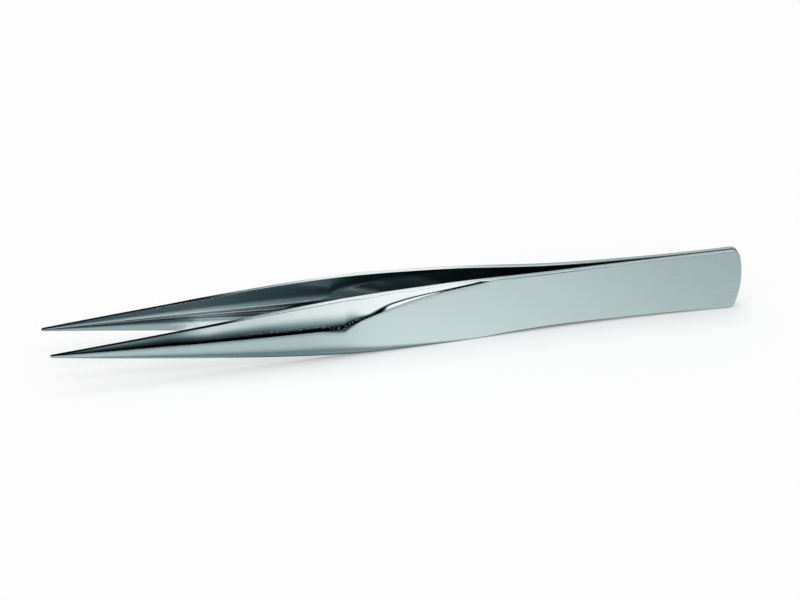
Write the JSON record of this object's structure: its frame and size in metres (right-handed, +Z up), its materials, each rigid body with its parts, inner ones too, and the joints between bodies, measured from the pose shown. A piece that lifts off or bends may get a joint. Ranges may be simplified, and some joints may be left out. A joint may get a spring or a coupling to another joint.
{
  "type": "tweezers",
  "caption": "Straight precision tweezers with slender pointed tips: mirror-image spring arms welded at the rear, satin handles and ridged, polished front halves.",
  "frame": {"origin": "on the surface that the arms' lower edges stand on, midway between the rear end and the tips, in the middle plane of the gap", "axes": "+X along the tool towards the welded rear end, with the points at -X; +Y across the gap towards right_arm; +Z up, across the width of the arms"},
  "size_m": [0.112, 0.0094, 0.0106],
  "materials": {
    "nickel_plate": "satin handle, mirror-polished front bevels"
  },
  "bodies": {
    "right_arm": {"right_arm": "nickel_plate"},
    "left_arm": {"left_arm": "nickel_plate"}
  },
  "joints": [
    {"name": "arm_spring", "type": "hinge", "parent": "right_arm", "child": "left_arm", "pos_m": [0.039, 0, 0.0053], "axis": [0, 0, -1], "range_deg": [0, 4.44], "stiffness_Nm_per_rad": 1.6}
  ]
}
